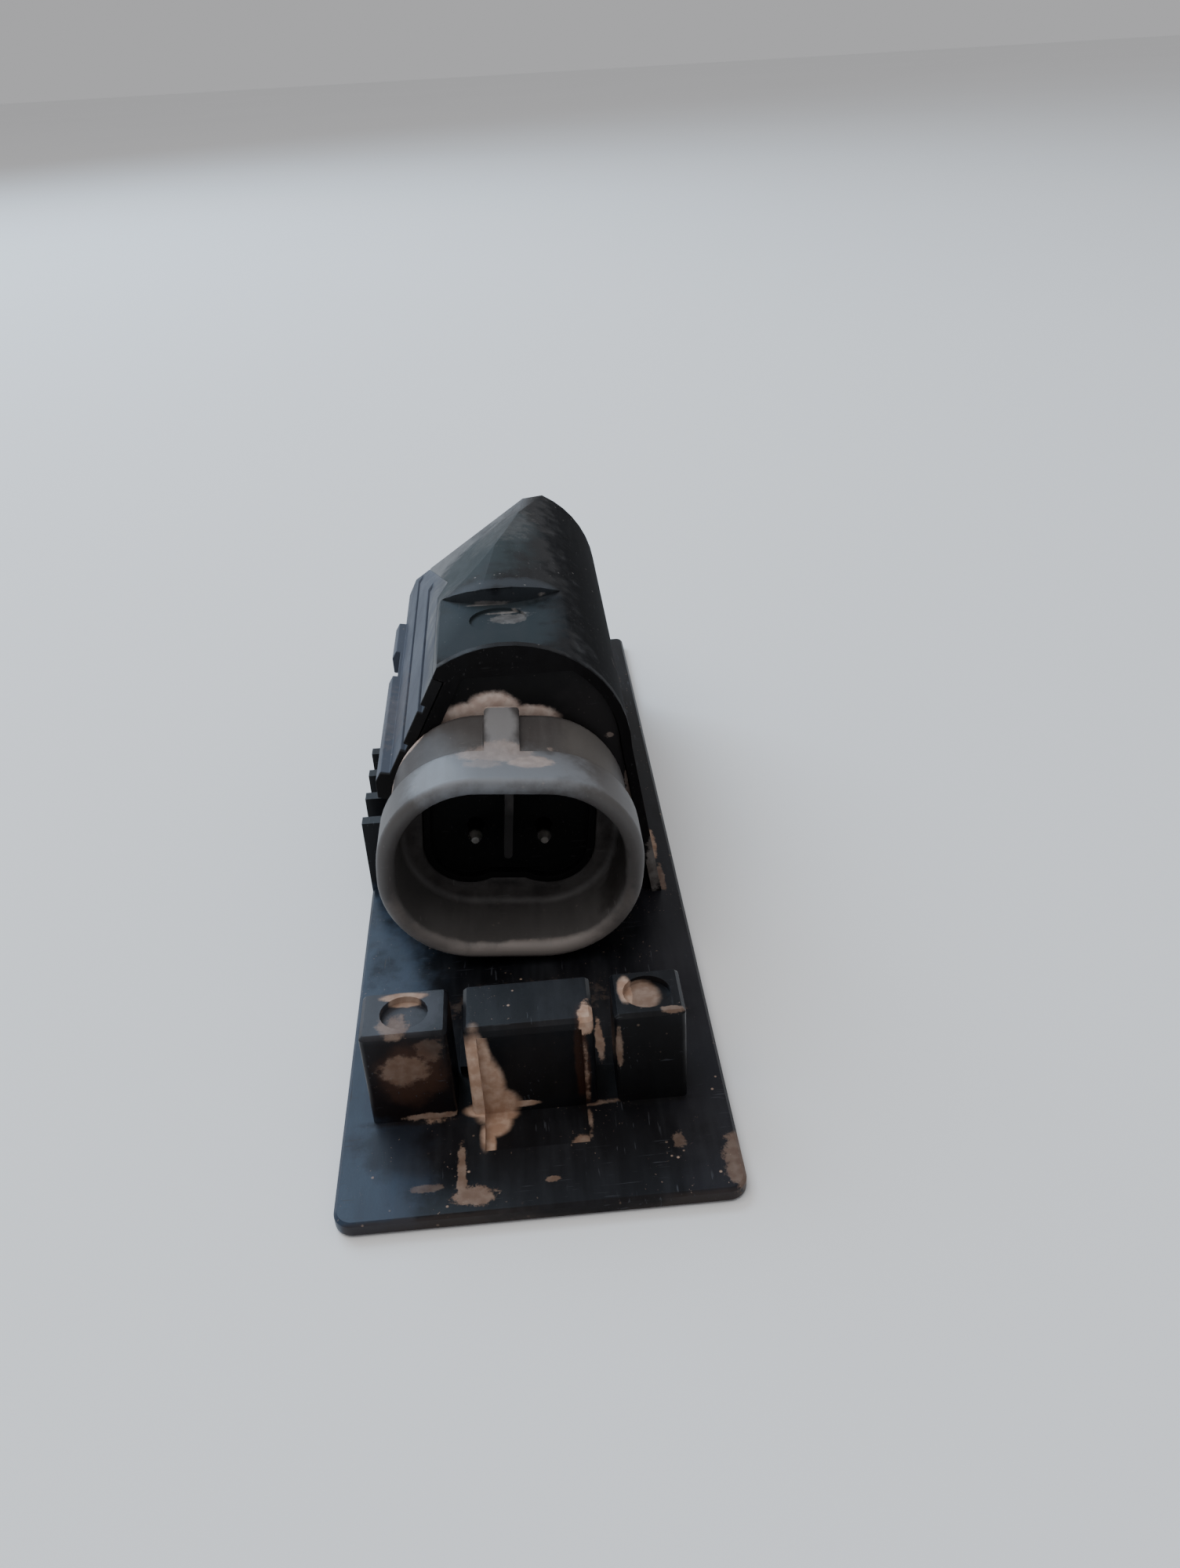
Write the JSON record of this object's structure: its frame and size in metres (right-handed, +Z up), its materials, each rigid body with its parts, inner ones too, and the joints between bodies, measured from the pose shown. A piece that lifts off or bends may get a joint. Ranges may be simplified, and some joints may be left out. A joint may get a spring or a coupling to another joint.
{
  "type": "fuel injector",
  "caption": "Solenoid fuel injector laid along a moulded plate, with an arch housing, an oval plug socket, square towers and a sprung needle valve.",
  "frame": {"origin": "centre of the mounting plate's underside", "axes": "+Y along the plate from the tower end to the spray tip, +Z up out of the plate, +X to the housing's round side"},
  "size_m": [0.036, 0.1144, 0.0341],
  "materials": {
    "black_plastic": "satin moulded black with dry dust",
    "grey_plastic": "satin grey moulding",
    "dark_insert": "matt black moulding",
    "tinned_brass": "tinned",
    "zinc_steel": "zinc plated and turned",
    "natural_plastic": "glass-filled moulding",
    "copper": "enamelled winding wire",
    "polished_steel": "ground steel",
    "filter_mesh": "woven screen",
    "rubber": "moulded seal"
  },
  "bodies": {
    "injector_body": {"mounting_plate": "black_plastic", "body_housing": "black_plastic", "side_cover": "black_plastic", "front_bulkhead": "black_plastic", "rear_bulkhead": "black_plastic", "feed_sleeve": "black_plastic", "connector_shroud": "grey_plastic", "pin_carrier": "dark_insert", "terminal_left": "tinned_brass", "terminal_right": "tinned_brass", "solenoid_can": "zinc_steel", "yoke_washer": "zinc_steel", "pole_piece": "zinc_steel", "nozzle_barrel": "zinc_steel", "coil_bobbin": "natural_plastic", "tip_cap": "natural_plastic", "coil_winding": "copper", "adjuster_tube": "polished_steel", "return_spring": "polished_steel", "needle_guide": "polished_steel", "valve_seat": "polished_steel", "orifice_plate": "polished_steel", "retaining_clip": "polished_steel", "inlet_filter": "filter_mesh", "upper_seal_ring": "rubber", "lower_seal_ring": "rubber", "tip_seal_ring": "rubber", "port_seal_ring": "rubber"},
    "valve_set": {"armature": "zinc_steel", "valve_needle": "polished_steel", "valve_ball": "polished_steel"}
  },
  "joints": [
    {"name": "needle_lift", "type": "slide", "parent": "injector_body", "child": "valve_set", "axis": [0, -1, 0], "range_m": [0, 0.0003], "stiffness_N_per_m": 3000, "springref_m": -0.0012, "deforming": ["return_spring"]}
  ]
}
